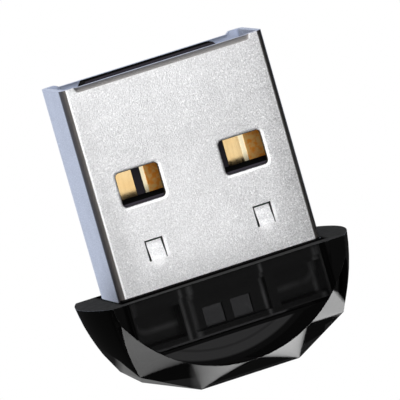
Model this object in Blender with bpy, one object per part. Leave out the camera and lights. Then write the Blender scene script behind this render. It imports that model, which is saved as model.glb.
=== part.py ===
"""Nano USB WiFi adapter: a full-size type A plug with a short faceted cap of smoked plastic.

Plug frame, in millimetres: X across the plug, Y along it toward the mouth, Z out of the wide
wall that faces up. Y = 0 is the rim of the cap, where the plug comes out of it, and Z = 0 is
the middle of the plug. The root empty moves that frame so the object lies on the back face of
the cap with the middle of its bounding box on the Z axis.
"""
import math

import bmesh
import bpy
from mathutils import Vector

MM = 0.001

# plug shell: folded steel sheet, type A outside size
PLUG_W = 12.0
PLUG_H = 4.5
SHEET = 0.30
BEND_R = 0.45
PLUG_FRONT = 12.10          # mouth corners
SHELL_REAR = -0.20          # hidden end, inside the cap
REAR_TAPER = 0.05           # lead-in pressed on the hidden end
LIP_DROP = (0.13, 0.05)     # back and front wall end this far short of the corners
LIP_IN = 0.16               # and lean in by this much
LIP_LEN = 0.38
EAR_IN = 5.25               # the corners keep their full height outside this
LIP_FROM = 4.95             # and the lip is fully bent inside this
SEAM = 0.04                 # open butt seam down the back wall

WINDOW_W = 2.5
WINDOW_L = 1.95
WINDOW_X = 3.05
WINDOW_Y = 5.88
WINDOW_R = 0.22
TAB_W = 1.06
TAB_L = 1.40
TAB_X = 3.22
TAB_Y = 2.15
TAB_PUSH = 0.26
TAB_GAP = 0.04
TAB_ROOT = 0.02             # overlap with the wall it grows from
TAB_FLAT = 0.12             # straight part before the bend
TAB_KNEE = 0.55             # where most of the bend is done
TAB_SKIN = 0.001            # keeps the tab's faces off the wall's faces

# smoked cap
CAP_FRONT = 3.85            # flat D faces
CAP_BACK = -3.05
CAP_HALF_W = 7.87           # at the rim, mid depth
SIDE_LEAN = 0.12            # side wall: X = W - LEAN t - CURVE t^2 - Z^2 / (2 R), t = -Y
SIDE_CURVE = 0.053
SIDE_R = 7.3
ARC_C = 2.45                # centre of the D faces' arcs on the Y axis
ARC_R = {CAP_FRONT: 7.5, CAP_BACK: 7.9}
ARC_END = {CAP_FRONT: 62.0, CAP_BACK: 63.3}  # degrees each side where the arc meets the side wall
GIRDLE_Z = 2.20
CORNER_1 = (6.08, -4.31)    # girdle corners, at +-GIRDLE_Z
CORNER_2 = (2.93, -6.00)
KITE_SIDE = (7.24, -2.50)   # mid-depth corners of the kite facet
KITE_TIP = (5.55, -4.93)
POCKET_GAP = 0.06
POCKET_Y = -3.28

# insulating tongue and the contacts on it
TONGUE_TOP = -0.50
TONGUE_X = 5.64
INNER_Z = 1.92
BLOCK_FRONT = 5.05
BLOCK_REAR = 3.42
TONGUE_END = 11.60
NOSE_END = 11.96
NOSE_HALF = 3.80
NOSE_ROOT_HALF = 4.10
NOSE_LOW = -1.72            # clears the bent lip of the back wall
CONTACT_W = 2.00
CONTACT_PITCH = 2.50
CONTACT_OUTER = 0.30        # the outer two reach this much further toward the sides
CONTACT_T = 0.20
CONTACT_TOP = -0.45
CONTACT_END = 11.15
SLIP = 0.02                 # running gap around parts that are let into each other

# circuit board
BOARD_HALF_W = 5.00
BOARD_TOP = -0.84
BOARD_T = 0.30
BOARD_FRONT = 10.95
BOARD_TAIL = -1.40
TRAY_TOP = -0.80
TRAY_LOW = -1.66

# black carrier behind the tongue
NECK_WALL = 0.35
CARRIER_X = 5.95
CARRIER_LOW = -2.20
RIB_TOP = 1.60
CARRIER_REAR = -3.20
CARRIER_STEP = -0.25
RIB_IN = 2.27               # ribs either side of the middle plate
RIB_OUT = 2.80
PLATE_TOP = 1.10
PLATE_T = 0.30
BAY_FLOOR = 0.35
CARRIER_WALL = 0.30
LIGHT_HOLE_W = 1.18
LIGHT_HOLE_L = 1.12
LIGHT_HOLE_X = (-0.91, 0.75)
LIGHT_HOLE_Y = -2.31

ORIGIN_Y = (PLUG_FRONT + CORNER_2[1]) / 2


def clear_scene():
    for ob in list(bpy.data.objects):
        bpy.data.objects.remove(ob, do_unlink=True)


def material(name, color, roughness, metallic=0.0, transmission=0.0, ior=1.5):
    mat = bpy.data.materials.new(name)
    mat.use_nodes = True
    shader = mat.node_tree.nodes["Principled BSDF"]
    shader.inputs["Base Color"].default_value = (*color, 1.0)
    shader.inputs["Roughness"].default_value = roughness
    shader.inputs["Metallic"].default_value = metallic
    shader.inputs["Transmission Weight"].default_value = transmission
    shader.inputs["IOR"].default_value = ior
    mat.diffuse_color = (*color, 1.0)
    mat.roughness = roughness
    mat.metallic = metallic
    return mat


def solid(name, points, faces, mat=None):
    """A mesh object from points in millimetres, with its faces turned outward."""
    mesh = bpy.data.meshes.new(name)
    mesh.from_pydata([Vector(p) * MM for p in points], [], faces)
    bm = bmesh.new()
    bm.from_mesh(mesh)
    bmesh.ops.recalc_face_normals(bm, faces=bm.faces)
    bm.to_mesh(mesh)
    bm.free()
    ob = bpy.data.objects.new(name, mesh)
    bpy.context.collection.objects.link(ob)
    if mat:
        mesh.materials.append(mat)
    return ob


def block(name, low, high, mat=None):
    """A box between two corners."""
    pts = [(x, y, z) for z in (low[2], high[2]) for y in (low[1], high[1]) for x in (low[0], high[0])]
    faces = [(0, 2, 3, 1), (4, 5, 7, 6), (0, 1, 5, 4), (2, 6, 7, 3), (0, 4, 6, 2), (1, 3, 7, 5)]
    return solid(name, pts, faces, mat)


def prism(name, outline, low, high, axis, mat=None):
    """A flat outline pushed along one axis. The outline gives the other two axes in XYZ order."""
    others = [i for i in range(3) if i != axis]
    pts = []
    for level in (low, high):
        for a, b in outline:
            p = [0.0, 0.0, 0.0]
            p[axis], p[others[0]], p[others[1]] = level, a, b
            pts.append(p)
    n = len(outline)
    faces = [tuple(range(n)), tuple(range(2 * n - 1, n - 1, -1))]
    faces += [(i, (i + 1) % n, n + (i + 1) % n, n + i) for i in range(n)]
    return solid(name, pts, faces, mat)


def rounded(half_a, half_b, radius, steps=4, centre=(0.0, 0.0)):
    """Rounded rectangle, counter-clockwise."""
    out = []
    for sa, sb, start in ((1, 1, 0), (-1, 1, 90), (-1, -1, 180), (1, -1, 270)):
        for i in range(steps + 1):
            t = math.radians(start + 90 * i / steps)
            out.append((centre[0] + sa * (half_a - radius) + radius * math.cos(t),
                        centre[1] + sb * (half_b - radius) + radius * math.sin(t)))
    return out


def combine(target, others, operation):
    """Run exact Booleans on a mesh and keep the result as its own mesh."""
    for other in others:
        mod = target.modifiers.new("combine", "BOOLEAN")
        mod.operation = operation
        mod.solver = "EXACT"
        mod.object = other
    graph = bpy.context.evaluated_depsgraph_get()
    made = bpy.data.meshes.new_from_object(target.evaluated_get(graph))
    mats = list(target.data.materials)
    target.modifiers.clear()
    target.data = made
    made.materials.clear()
    for mat in mats:
        made.materials.append(mat)
    for other in others:
        bpy.data.objects.remove(other, do_unlink=True)
    return target


def soften(ob, angle):
    """Smooth shading that keeps every edge sharper than the angle."""
    ob.data.shade_smooth()
    ob.data.set_sharp_from_angle(angle=math.radians(angle))
    return ob


def wall_path():
    """Outside and inside points of the folded sheet, from one side of the seam to the other."""
    flat = [SEAM / 2, LIP_FROM, EAR_IN]
    half = [(x, -PLUG_H / 2, x, -PLUG_H / 2 + SHEET) for x in flat]
    cx, cz = PLUG_W / 2 - BEND_R, PLUG_H / 2 - BEND_R
    inner = BEND_R - SHEET
    for sz, start in ((-1, -90), (1, 0)):
        for i in range(7):
            t = math.radians(start + 15 * i)
            half.append((cx + BEND_R * math.cos(t), sz * cz + BEND_R * math.sin(t),
                         cx + inner * math.cos(t), sz * cz + inner * math.sin(t)))
    half += [(x, PLUG_H / 2, x, PLUG_H / 2 - SHEET) for x in (EAR_IN, LIP_FROM)]
    mirrored = [(-a, b, -c, d) for a, b, c, d in reversed(half)]
    return half + mirrored


def plug_shell():
    """Folded tube with in-leaning lips, four latch windows and four pushed-in tabs."""
    path = wall_path()
    stations = [(SHELL_REAR, 0.0), (0.0, 0.0), (PLUG_FRONT - LIP_LEN, 0.0)]
    stations += [(None, i / 4) for i in range(1, 5)]
    points, rings = [], []
    for y, bend in stations:
        ring = []
        shrink = REAR_TAPER if y == SHELL_REAR else 0.0
        for x_out, z_out, x_in, z_in in path:
            lip = min(1.0, max(0.0, (EAR_IN - abs(x_out)) / (EAR_IN - LIP_FROM)))
            if abs(z_out) < PLUG_H / 2 - 1e-6:
                lip = 0.0
            top = PLUG_FRONT - LIP_DROP[z_out > 0] * lip
            at = y if y is not None else PLUG_FRONT - LIP_LEN + (top - PLUG_FRONT + LIP_LEN) * bend
            move = -math.copysign(LIP_IN * lip * bend * bend, z_out)
            ring.append((len(points), len(points) + 1))
            x_at = x_out * (1 - 2 * shrink / PLUG_W)
            z_at = z_out * (1 - 2 * shrink / PLUG_H) + move
            points += [(x_at, at, z_at), (x_in, at, z_in + move)]
        rings.append(ring)
    faces = []
    n = len(path)
    for a, b in zip(rings, rings[1:]):
        for i in range(n - 1):
            faces.append((a[i][0], a[i + 1][0], b[i + 1][0], b[i][0]))
            faces.append((a[i][1], b[i][1], b[i + 1][1], a[i + 1][1]))
        for i in (0, n - 1):
            faces.append((a[i][0], b[i][0], b[i][1], a[i][1]))
    for ring in (rings[0], rings[-1]):
        faces += [(ring[i][0], ring[i][1], ring[i + 1][1], ring[i + 1][0]) for i in range(n - 1)]
    steel = material("plug_steel", (0.78, 0.78, 0.80), 0.34, 1.0)
    shell = solid("plug_shell", points, faces, steel)

    cutters, tabs = [], []
    for side in (-1, 1):
        at = (side * WINDOW_X, WINDOW_Y)
        hole = rounded(WINDOW_W / 2, WINDOW_L / 2, WINDOW_R, 4, at)
        cutters.append(prism("window_cut", hole, -PLUG_H, PLUG_H, 2))
        x, y = side * TAB_X, TAB_Y
        cutters.append(block("tab_cut", (x - TAB_W / 2, y - TAB_L / 2, -PLUG_H),
                             (x + TAB_W / 2, y + TAB_L / 2, PLUG_H)))
        for face in (-1, 1):
            tabs.append(pushed_tab(x, y, face))
    combine(shell, cutters, "DIFFERENCE")
    combine(shell, tabs, "UNION")
    return soften(shell, 28)


def pushed_tab(x, y, face):
    """Tab left by a three-sided cut: joined to the wall at the rear, leaning in at the front."""
    rear, front = y - TAB_L / 2, y + TAB_L / 2 - TAB_GAP
    half = TAB_W / 2 - TAB_GAP
    bends = [(rear - TAB_ROOT, 0.0), (rear + TAB_FLAT, 0.0), (rear + TAB_KNEE, 0.6 * TAB_PUSH),
             (front, TAB_PUSH)]
    outer = PLUG_H / 2 - TAB_SKIN
    inner = PLUG_H / 2 - SHEET + TAB_SKIN
    profile = [(a, outer - push) for a, push in bends] + [(a, inner - push) for a, push in reversed(bends)]
    return prism("tab", [(a, face * b) for a, b in profile], x - half, x + half, 0)


def side_x(t, z):
    """Distance of the barrel-shaped side wall from the middle, t below the rim."""
    return CAP_HALF_W - SIDE_LEAN * t - SIDE_CURVE * t * t - z * z / (2 * SIDE_R)


def cap_points():
    """Points whose convex hull is the faceted cap: two mirrored quarters for each D face."""
    points = []
    corner_t, kite_t = -CORNER_1[1], -KITE_SIDE[1]
    for face in (CAP_FRONT, CAP_BACK):
        sign, depth = math.copysign(1, face), abs(face)
        quarter = [(KITE_SIDE[0], KITE_SIDE[1], 0.0), (KITE_TIP[0], KITE_TIP[1], 0.0)]
        quarter += [(x, y, sign * GIRDLE_Z) for x, y in (CORNER_1, CORNER_2)]
        for i in range(15):
            a = math.radians(ARC_END[face] * i / 14)
            quarter.append((ARC_R[face] * math.sin(a), ARC_C - ARC_R[face] * math.cos(a), face))
        arc_t = ARC_R[face] * math.cos(math.radians(ARC_END[face])) - ARC_C
        for i in range(11):
            z = depth * math.sin(math.radians(90 * i / 10))
            if z < GIRDLE_Z:
                deep = kite_t + (corner_t - kite_t) * z / GIRDLE_Z
                rows = (0.0, 0.3, 0.6)
            else:
                deep = corner_t + (arc_t - corner_t) * (z - GIRDLE_Z) / (depth - GIRDLE_Z)
                rows = (0.0, 0.35, 0.7, 1.0)
            quarter += [(side_x(f * deep, z), -f * deep, sign * z) for f in rows]
        points += [(side * x, y, z) for side in (-1, 1) for x, y, z in quarter]
    return points


def end_cap():
    """Faceted cap with a pocket for the rear of the plug."""
    bm = bmesh.new()
    for p in cap_points():
        bm.verts.new(Vector(p) * MM)
    bmesh.ops.remove_doubles(bm, verts=bm.verts, dist=0.002 * MM)
    made = bmesh.ops.convex_hull(bm, input=bm.verts)
    spare = {v for v in made["geom_interior"] + made["geom_unused"] if isinstance(v, bmesh.types.BMVert)}
    bmesh.ops.delete(bm, geom=list(spare), context="VERTS")
    bmesh.ops.dissolve_limit(bm, angle_limit=math.radians(0.1), verts=bm.verts, edges=bm.edges)
    mesh = bpy.data.meshes.new("end_cap")
    bmesh.ops.recalc_face_normals(bm, faces=bm.faces)
    bm.to_mesh(mesh)
    bm.free()
    cap = bpy.data.objects.new("end_cap", mesh)
    bpy.context.collection.objects.link(cap)
    mesh.materials.append(material("smoked_plastic", (0.030, 0.030, 0.032), 0.06, 0.0, 0.35, 1.58))
    hole = rounded(PLUG_W / 2 + POCKET_GAP, PLUG_H / 2 + POCKET_GAP, BEND_R + POCKET_GAP)
    combine(cap, [prism("pocket_cut", hole, POCKET_Y, 1.0, 1)], "DIFFERENCE")
    return soften(cap, 8)


def plug_insulator():
    """Tongue under the contacts, with the full-height block they come out of."""
    black = material("insulator_black", (0.018, 0.018, 0.020), 0.42)
    low = -INNER_Z
    outline = [(-TONGUE_X, BLOCK_FRONT - 0.5), (TONGUE_X, BLOCK_FRONT - 0.5), (TONGUE_X, TONGUE_END),
               (NOSE_ROOT_HALF, TONGUE_END), (NOSE_HALF, NOSE_END), (-NOSE_HALF, NOSE_END),
               (-NOSE_ROOT_HALF, TONGUE_END), (-TONGUE_X, TONGUE_END)]
    tongue = prism("plug_insulator", outline, low, TONGUE_TOP, 2, black)
    body = block("body", (-TONGUE_X, BLOCK_REAR, low), (TONGUE_X, BLOCK_FRONT, INNER_Z))
    combine(tongue, [body], "UNION")
    room = BOARD_HALF_W + 0.05
    cuts = [block("tray_cut", (-room, BLOCK_REAR - 1, TRAY_LOW), (room, BOARD_FRONT + 0.1, TRAY_TOP)),
            block("lip_room", (-PLUG_W, TONGUE_END, low - 1), (PLUG_W, PLUG_FRONT, NOSE_LOW))]
    for k in range(4):
        left, right = contact_span(k)
        cuts.append(block("groove_cut", (left - SLIP, BLOCK_REAR - 1, CONTACT_TOP - CONTACT_T - SLIP),
                          (right + SLIP, CONTACT_END + SLIP, CONTACT_TOP + SLIP)))
    return combine(tongue, cuts, "DIFFERENCE")


def contact_span(k):
    """Left and right edges of contact k, counted from 0."""
    x = (k - 1.5) * CONTACT_PITCH
    left = x - CONTACT_W / 2 - (CONTACT_OUTER if k == 0 else 0.0)
    return left, x + CONTACT_W / 2 + (CONTACT_OUTER if k == 3 else 0.0)


def contact(name, k):
    """Gold strip: rounded tip, flat run along the tongue, foot bent down to the board."""
    top, low = CONTACT_TOP, CONTACT_TOP - CONTACT_T
    foot_low = BOARD_TOP + SLIP
    foot_top = foot_low + 0.8 * CONTACT_T
    r = 0.14
    profile = [(2.55, foot_low), (3.10, foot_low), (3.30, low), (CONTACT_END - 0.05, low),
               (CONTACT_END, low + 0.05)]
    for i in range(5):
        t = math.radians(90 * i / 4)
        profile.append((CONTACT_END - r + r * math.cos(t), top - r + r * math.sin(t)))
    profile += [(3.22, top), (3.02, foot_top), (2.55, foot_top)]
    gold = material(name + "_gold", (0.93, 0.68, 0.32), 0.20, 1.0)
    ob = prism(name, profile, *contact_span(k), 0, gold)
    return soften(ob, 40)


def circuit_board():
    """Thin board from under the tongue to the tail inside the cap."""
    green = material("board_green", (0.02, 0.11, 0.06), 0.45)
    w, notch = BOARD_HALF_W, 0.35
    outline = [(-w + notch, BOARD_TAIL), (w - notch, BOARD_TAIL), (w, BOARD_TAIL + notch),
               (w, BOARD_FRONT - notch), (w - notch, BOARD_FRONT), (-w + notch, BOARD_FRONT),
               (-w, BOARD_FRONT - notch), (-w, BOARD_TAIL + notch)]
    return prism("circuit_board", outline, BOARD_TOP - BOARD_T, BOARD_TOP, 2, green)


def rear_carrier():
    """Black moulding: neck inside the shell, then the body that stands in the pocket of the cap."""
    black = material("carrier_black", (0.012, 0.012, 0.013), 0.38)
    middle, half = (RIB_TOP + CARRIER_LOW) / 2, (RIB_TOP - CARRIER_LOW) / 2
    outline = rounded(CARRIER_X, half, BEND_R, 4, (0.0, middle))
    ob = prism("rear_carrier", outline, CARRIER_REAR, CARRIER_STEP, 1, black)
    neck_x, neck_front = TONGUE_X, BLOCK_REAR - 0.05
    neck = block("neck", (-neck_x, CARRIER_STEP - 0.5, -INNER_Z), (neck_x, neck_front, INNER_Z))
    combine(ob, [neck], "UNION")
    in_x, in_z = neck_x - NECK_WALL, INNER_Z - NECK_WALL
    back, front = CARRIER_REAR + CARRIER_WALL, CARRIER_STEP - 0.5 - CARRIER_WALL
    tail = BOARD_TAIL - 0.05
    cuts = [block("neck_cut", (-in_x, CARRIER_STEP + 0.1, -in_z), (in_x, neck_front + 1, in_z)),
            block("tail_cut", (-BOARD_HALF_W - 0.05, tail, BOARD_TOP - BOARD_T - 0.05),
                  (BOARD_HALF_W + 0.05, CARRIER_STEP + 0.5, BOARD_TOP + 0.65)),
            block("plate_cut", (-RIB_IN, back, PLATE_TOP), (RIB_IN, front, PLUG_H)),
            block("under_plate", (-RIB_IN, CARRIER_REAR - 1, -PLUG_H),
                  (RIB_IN, tail - 0.15, PLATE_TOP - PLATE_T))]
    for side in (-1, 1):
        wide = TAB_W / 2 + 0.08
        x = side * TAB_X
        cuts.append(block("tab_room", (x - wide, TAB_Y - TAB_L / 2 - 0.05, -PLUG_H),
                          (x + wide, TAB_Y + TAB_L / 2 + 0.08, PLUG_H)))
        x, y = LIGHT_HOLE_X[side > 0], LIGHT_HOLE_Y
        cuts.append(block("light_hole", (x - LIGHT_HOLE_W / 2, y - LIGHT_HOLE_L / 2, 0.0),
                          (x + LIGHT_HOLE_W / 2, y + LIGHT_HOLE_L / 2, PLUG_H)))
        a, b = sorted((side * RIB_OUT, side * (CARRIER_X - CARRIER_WALL)))
        cuts.append(block("bay", (a, back, BAY_FLOOR), (b, front, PLUG_H)))
    return combine(ob, cuts, "DIFFERENCE")


def chip(name, x, y, size, color, under=False, rough=0.5):
    """Moulded package lying on the board or hung under it, with a bevelled outer face."""
    lx, ly, h = size
    base = BOARD_TOP + SLIP if not under else BOARD_TOP - BOARD_T - SLIP
    sign = -1 if under else 1
    b = min(0.08, 0.2 * min(lx, ly, h))
    rings = [(lx / 2, ly / 2, 0.0), (lx / 2, ly / 2, h - b), (lx / 2 - b, ly / 2 - b, h)]
    pts, faces = [], []
    corners = ((-1, -1), (1, -1), (1, 1), (-1, 1))
    for hx, hy, z in rings:
        pts += [(x + sx * hx, y + sy * hy, base + sign * z) for sx, sy in corners]
    faces.append((0, 1, 2, 3))
    faces.append((8, 9, 10, 11))
    for r in (0, 4):
        faces += [(r + i, r + (i + 1) % 4, r + 4 + (i + 1) % 4, r + 4 + i) for i in range(4)]
    return solid(name, pts, faces, material(name + "_body", color, rough))


def end_cap_chip(name, x, y, size, color, under=False, along_x=True):
    """Two-terminal chip part: a body with a raised band of solderable metal at each end."""
    lx, ly, h = size
    base = BOARD_TOP + SLIP if not under else BOARD_TOP - BOARD_T - SLIP
    sign = -1 if under else 1
    long, wide = (lx, ly) if along_x else (ly, lx)
    band, rise = 0.24 * long, 0.02
    ends = [-long / 2, -long / 2 + band, -long / 2 + band, long / 2 - band, long / 2 - band, long / 2]
    grow = [0.0, 0.0, -rise, -rise, 0.0, 0.0]
    pts, faces = [], []
    for a, g in zip(ends, grow):
        for c, z in ((-1, 0), (1, 0), (1, 1), (-1, 1)):
            across = c * (wide / 2 + g)
            up = base + sign * (h + g if z else 0.0)
            pts.append((x + a, y + across, up) if along_x else (x + across, y + a, up))
    for r in range(0, 20, 4):
        faces += [(r + i, r + (i + 1) % 4, r + 4 + (i + 1) % 4, r + 4 + i) for i in (1, 2, 3, 0)]
    faces += [(0, 1, 2, 3), (20, 21, 22, 23)]
    return solid(name, pts, faces, material(name + "_body", color, 0.5))


def electronics():
    """Everything soldered to the board."""
    dark, steel = (0.02, 0.02, 0.022), (0.62, 0.62, 0.64)
    tan, ink = (0.42, 0.28, 0.16), (0.025, 0.025, 0.03)
    parts = [
        chip("wifi_chip", 0.0, 0.6, (3.5, 3.5, 0.55), dark),
        chip("crystal", -3.75, 1.35, (2.0, 1.6, 0.5), steel, rough=0.3),
        chip("voltage_regulator", 3.65, 1.75, (1.8, 1.2, 0.5), dark),
        chip("power_inductor", 3.65, 0.15, (1.6, 1.2, 0.55), (0.09, 0.09, 0.10)),
        chip("memory_chip", 0.0, 7.9, (3.0, 2.0, 0.42), dark, under=True),
        chip("chip_antenna", 3.65, -0.95, (1.6, 0.7, 0.40), (0.80, 0.78, 0.72)),
        chip("status_led", -3.65, -0.95, (1.0, 0.6, 0.40), (0.80, 0.78, 0.60)),
        end_cap_chip("rf_filter", -3.75, -0.1, (1.0, 0.5, 0.35), (0.75, 0.75, 0.72)),
    ]
    for name, x, y in (("capacitor_supply_in", 3.4, 5.2), ("capacitor_supply_out", 3.4, 6.6),
                       ("capacitor_core", -3.4, 5.2), ("capacitor_crystal_1", -3.4, 6.6)):
        parts.append(end_cap_chip(name, x, y, (1.0, 0.5, 0.45), tan, True))
    for name, x, y in (("resistor_led", -3.4, 8.0), ("resistor_bias", 3.4, 8.0)):
        parts.append(end_cap_chip(name, x, y, (1.0, 0.5, 0.32), ink, True))
    return parts


def build():
    clear_scene()
    parts = [end_cap(), plug_shell(), plug_insulator(), rear_carrier(), circuit_board()]
    names = ("contact_1_supply", "contact_2_data_minus", "contact_3_data_plus", "contact_4_ground")
    parts += [contact(name, k) for k, name in enumerate(names)]
    parts += electronics()
    root = bpy.data.objects.new("root", None)
    bpy.context.collection.objects.link(root)
    root.location = Vector((0.0, -ORIGIN_Y, -CAP_BACK)) * MM
    for ob in parts:
        ob.parent = root


build()
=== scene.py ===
"""Looks of the nano USB WiFi adapter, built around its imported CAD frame.

Unless a comment says otherwise, lengths are millimetres in the plug's own frame: X across the plug,
Y along it toward the mouth, Z out of the wide wall that faces up, with Y = 0 at the rim of the cap
and Z = 0 in the middle of the plug. at() turns them into the row frame. The object lies on the back
face of its cap.
"""
import math

import bmesh
import bpy
from mathutils import Matrix, Vector

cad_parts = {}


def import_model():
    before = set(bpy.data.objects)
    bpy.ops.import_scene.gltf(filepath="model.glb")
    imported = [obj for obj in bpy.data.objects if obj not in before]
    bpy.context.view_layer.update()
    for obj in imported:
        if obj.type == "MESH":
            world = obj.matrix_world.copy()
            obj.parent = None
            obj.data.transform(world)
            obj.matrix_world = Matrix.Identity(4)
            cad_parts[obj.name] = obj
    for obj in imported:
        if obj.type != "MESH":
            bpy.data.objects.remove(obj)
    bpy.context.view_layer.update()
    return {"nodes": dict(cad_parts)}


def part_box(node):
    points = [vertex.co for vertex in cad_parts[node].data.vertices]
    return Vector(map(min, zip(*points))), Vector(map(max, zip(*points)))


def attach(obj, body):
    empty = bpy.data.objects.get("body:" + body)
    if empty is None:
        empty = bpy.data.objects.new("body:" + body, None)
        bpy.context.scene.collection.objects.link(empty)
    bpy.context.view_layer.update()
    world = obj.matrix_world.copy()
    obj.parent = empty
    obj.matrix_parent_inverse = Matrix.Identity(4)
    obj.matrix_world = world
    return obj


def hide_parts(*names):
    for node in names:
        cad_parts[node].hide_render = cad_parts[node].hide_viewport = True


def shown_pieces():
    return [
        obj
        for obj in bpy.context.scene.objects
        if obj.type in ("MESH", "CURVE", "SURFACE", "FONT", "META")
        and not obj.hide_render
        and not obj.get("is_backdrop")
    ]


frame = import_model()

MM = 0.001
SHELL_LOW, SHELL_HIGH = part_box("plug_shell")
CAP_LOW, CAP_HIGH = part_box("end_cap")
RIM_Y = CAP_HIGH.y
MID_Z = (SHELL_LOW.z + SHELL_HIGH.z) / 2

# plug shell
PLUG_W = (SHELL_HIGH.x - SHELL_LOW.x) / MM
PLUG_H = (SHELL_HIGH.z - SHELL_LOW.z) / MM
PLUG_FRONT = (SHELL_HIGH.y - RIM_Y) / MM
SHELL_REAR = (SHELL_LOW.y - RIM_Y) / MM
REAR_TAPER = 0.05
SHEET = 0.30
BEND_R = 0.45
SEAM = 0.04
LIP_DROP = (0.13, 0.05)     # how far the back and front lips end short of the corners
LIP_IN = 0.16
LIP_LEN = 0.38
EAR_IN = 5.25
LIP_FROM = 4.95
WINDOW = (2.50, 1.95)
WINDOW_AT = (3.05, 5.88)
WINDOW_R = 0.22
TAB = (1.06, 1.40)
TAB_AT = (3.22, 2.15)
TAB_PUSH = 0.26
TAB_GAP = (0.13, 0.05)
TAB_SHORT = 0.22            # the side cuts stop this far before the end of the dent
TAB_FRONT_GAP = 0.12
TAB_ROOT_HIGHLIGHT = (1.55, 0.50, 0.40)  # painted highlight at the root of each tab, where it bends: place, half sizes
ROLL = (0.20, 0.08)         # width and depth of the rolled-over edge of the windows

# smoked cap
CAP_FRONT = (CAP_HIGH.z - MID_Z) / MM
CAP_BACK = (CAP_LOW.z - MID_Z) / MM
CAP_HALF_W = CAP_HIGH.x / MM
CAP_TIP = (CAP_LOW.y - RIM_Y) / MM
SIDE_LEAN = 0.12
SIDE_CURVE = 0.053
SIDE_R = 7.3
ARC_C = 2.45
ARC_R = (7.9, 7.5)          # back and front face
ARC_END = (63.3, 62.0)      # degrees each side where the arc meets the side wall
GIRDLE_Z = 2.20
CORNER_1 = (6.08, -4.31)
CORNER_2 = (2.93, CAP_TIP)
KITE_SIDE = (7.24, -2.50)
KITE_TIP = (5.55, -4.93)
POCKET_GAP = 0.06
POCKET_Y = -3.28
POCKET_DRAFT = 0.60         # lean of the pocket's end wall over its height
DRAFT_HALF_W = 4.6
SEAT_SHADE = (0.85, 0.55)   # width of the painted shadow line between shell and rim, left and right

# rounding of the edges
SHELL_EDGE = 0.045
CAP_EDGE = 0.05

# steel: the flat faces end at FACE_EDGE and, as painted shade, darken to the right over SHADE_X, both from
# the middle
FACE_EDGE = (5.40, 5.50)
SHADE_X = (1.0, 5.5)
STEEL_GREY = (0.77, 0.66)
STEEL_BEND_SHADE = (0.13, 0.12, 0.115, 1)
STEEL_LIP = (0.25, 0.24, 0.235, 1)
STEEL_INSIDE_LIT = (0.75, 0.80, 0.92, 1)
SEAT_Y = 0.09               # painted shade on the shell this far above the rim

# smoked plastic
SMOKE_GREY = (0.50, 0.08)   # tint of the flat faces and of the facets
SMOKE_DEPTH = 0.17          # absorption per millimetre
RIM_GREY = (0.036, 0.110)

# tongue and board
TONGUE_GREY = (0.0064, 0.010)
TONGUE_TOP_LIT = (0.045, 0.040, 0.050, 1)
SOLDER_MASK = ((0.012, 0.10, 0.045, 1), (0.03, 0.20, 0.09, 1))
GLASS_EDGE = (0.42, 0.36, 0.20, 1)

# gold: stretches of the contacts with a painted orange reflection of the shell's shaded ceiling, each with
# a painted pale highlight strip on its left
MIRRORED_SHADE_MARKS = ((-2.05, -0.60), (3.92, 5.10))
HIGHLIGHT_STRIP_W = 0.28
GOLD = ((0.46, 0.335, 0.17, 1), (0.45, 0.31, 0.145, 1))
GOLD_HIGHLIGHT = (0.62, 0.55, 0.38, 1)
GOLD_MIRRORED_SHADE = ((0.95, 0.36, 0.05, 1), (0.95, 0.58, 0.20, 1))

# painted highlights on the carrier, seen through the cap
CARRIER_HIGHLIGHTS = ((-2.68, 0.16, 0.15), (-2.12, 0.26, 0.16), (2.10, 0.15, 0.22), (5.30, 0.20, 0.10),
                   (5.75, 0.15, 0.12))      # x, half width, share
CARRIER_REAR = 3.2                          # below the rim
BAY_HIGHLIGHT = (5.45, 2.2, 0.9)                 # half width, depth below the rim, corner radius
BAYS_FROM = 2.85                            # the bays lie outside this

# small parts: colour, share of the length that is metal at each end, roughness, metallic
CHIP = ((0.022, 0.022, 0.024), 0.0, 0.55, 0.0)
SMALL_PARTS = {
    "wifi_chip": CHIP,
    "memory_chip": CHIP,
    "voltage_regulator": CHIP,
    "power_inductor": ((0.09, 0.09, 0.10), 0.2, 0.6, 0.0),
    "crystal": ((0.66, 0.66, 0.68), 0.0, 0.3, 1.0),
    "chip_antenna": ((0.80, 0.78, 0.72), 0.18, 0.35, 0.0),
    "status_led": ((0.80, 0.78, 0.60), 0.22, 0.25, 0.0),
    "rf_filter": ((0.75, 0.75, 0.72), 0.24, 0.4, 0.0),
}
CAPACITOR = ((0.42, 0.28, 0.16), 0.24, 0.45, 0.0)
RESISTOR = ((0.025, 0.025, 0.03), 0.24, 0.4, 0.0)
TIN = (0.72, 0.72, 0.70, 1)

# table
TABLE_HALF = 1.5                            # metres
TABLE_GAP = 0.02                            # keeps the table off the face that rests on it

# table as mirrors see it, in millimetres of the row frame; each pair of numbers is one soft edge
COOL = (0.63, 0.70, 0.87, 1)
COOL_Y = (-3.3, -2.7)                       # cool grey from here toward the mouth
COOL_WALL_X = ((-7.55, -7.45), (-5.8, -5.7))
COOL_WALL_Y = (-4.3, -4.1)                  # and from here next to the plug's left wall
STRIP_GREY = (0.02, 0.25)                   # around and in the strip at the cap's end
STRIP_X = ((-8.5, -7.5), (-0.5, 0.5))
STRIP_Y = ((-13, -11), (-7.8, -7.2))
GLINT = 3.4                                 # light patch mirrored in the last facet
GLINT_ZONE_X = (12.8, 12.9)
GLINT_X = (12.9, 13.9)
GLINT_AWAY = (6.5, 6.9)                     # distance along GLINT_NORMAL
GLINT_NORMAL = (-0.471, -0.882)
INSIDE_GREY = 0.012                         # what mirrored light that has crossed the plastic sees

# table as seen through the plastic
POOL_R = (7.50, 7.62)                       # pool of light under the cap, from full to dim
POOL_GREY = (0.16, 0.02)
POOL_LINE = (7.0, 0.07, 0.05)               # dark ring in the pool: radius, half width, how much darker

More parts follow.
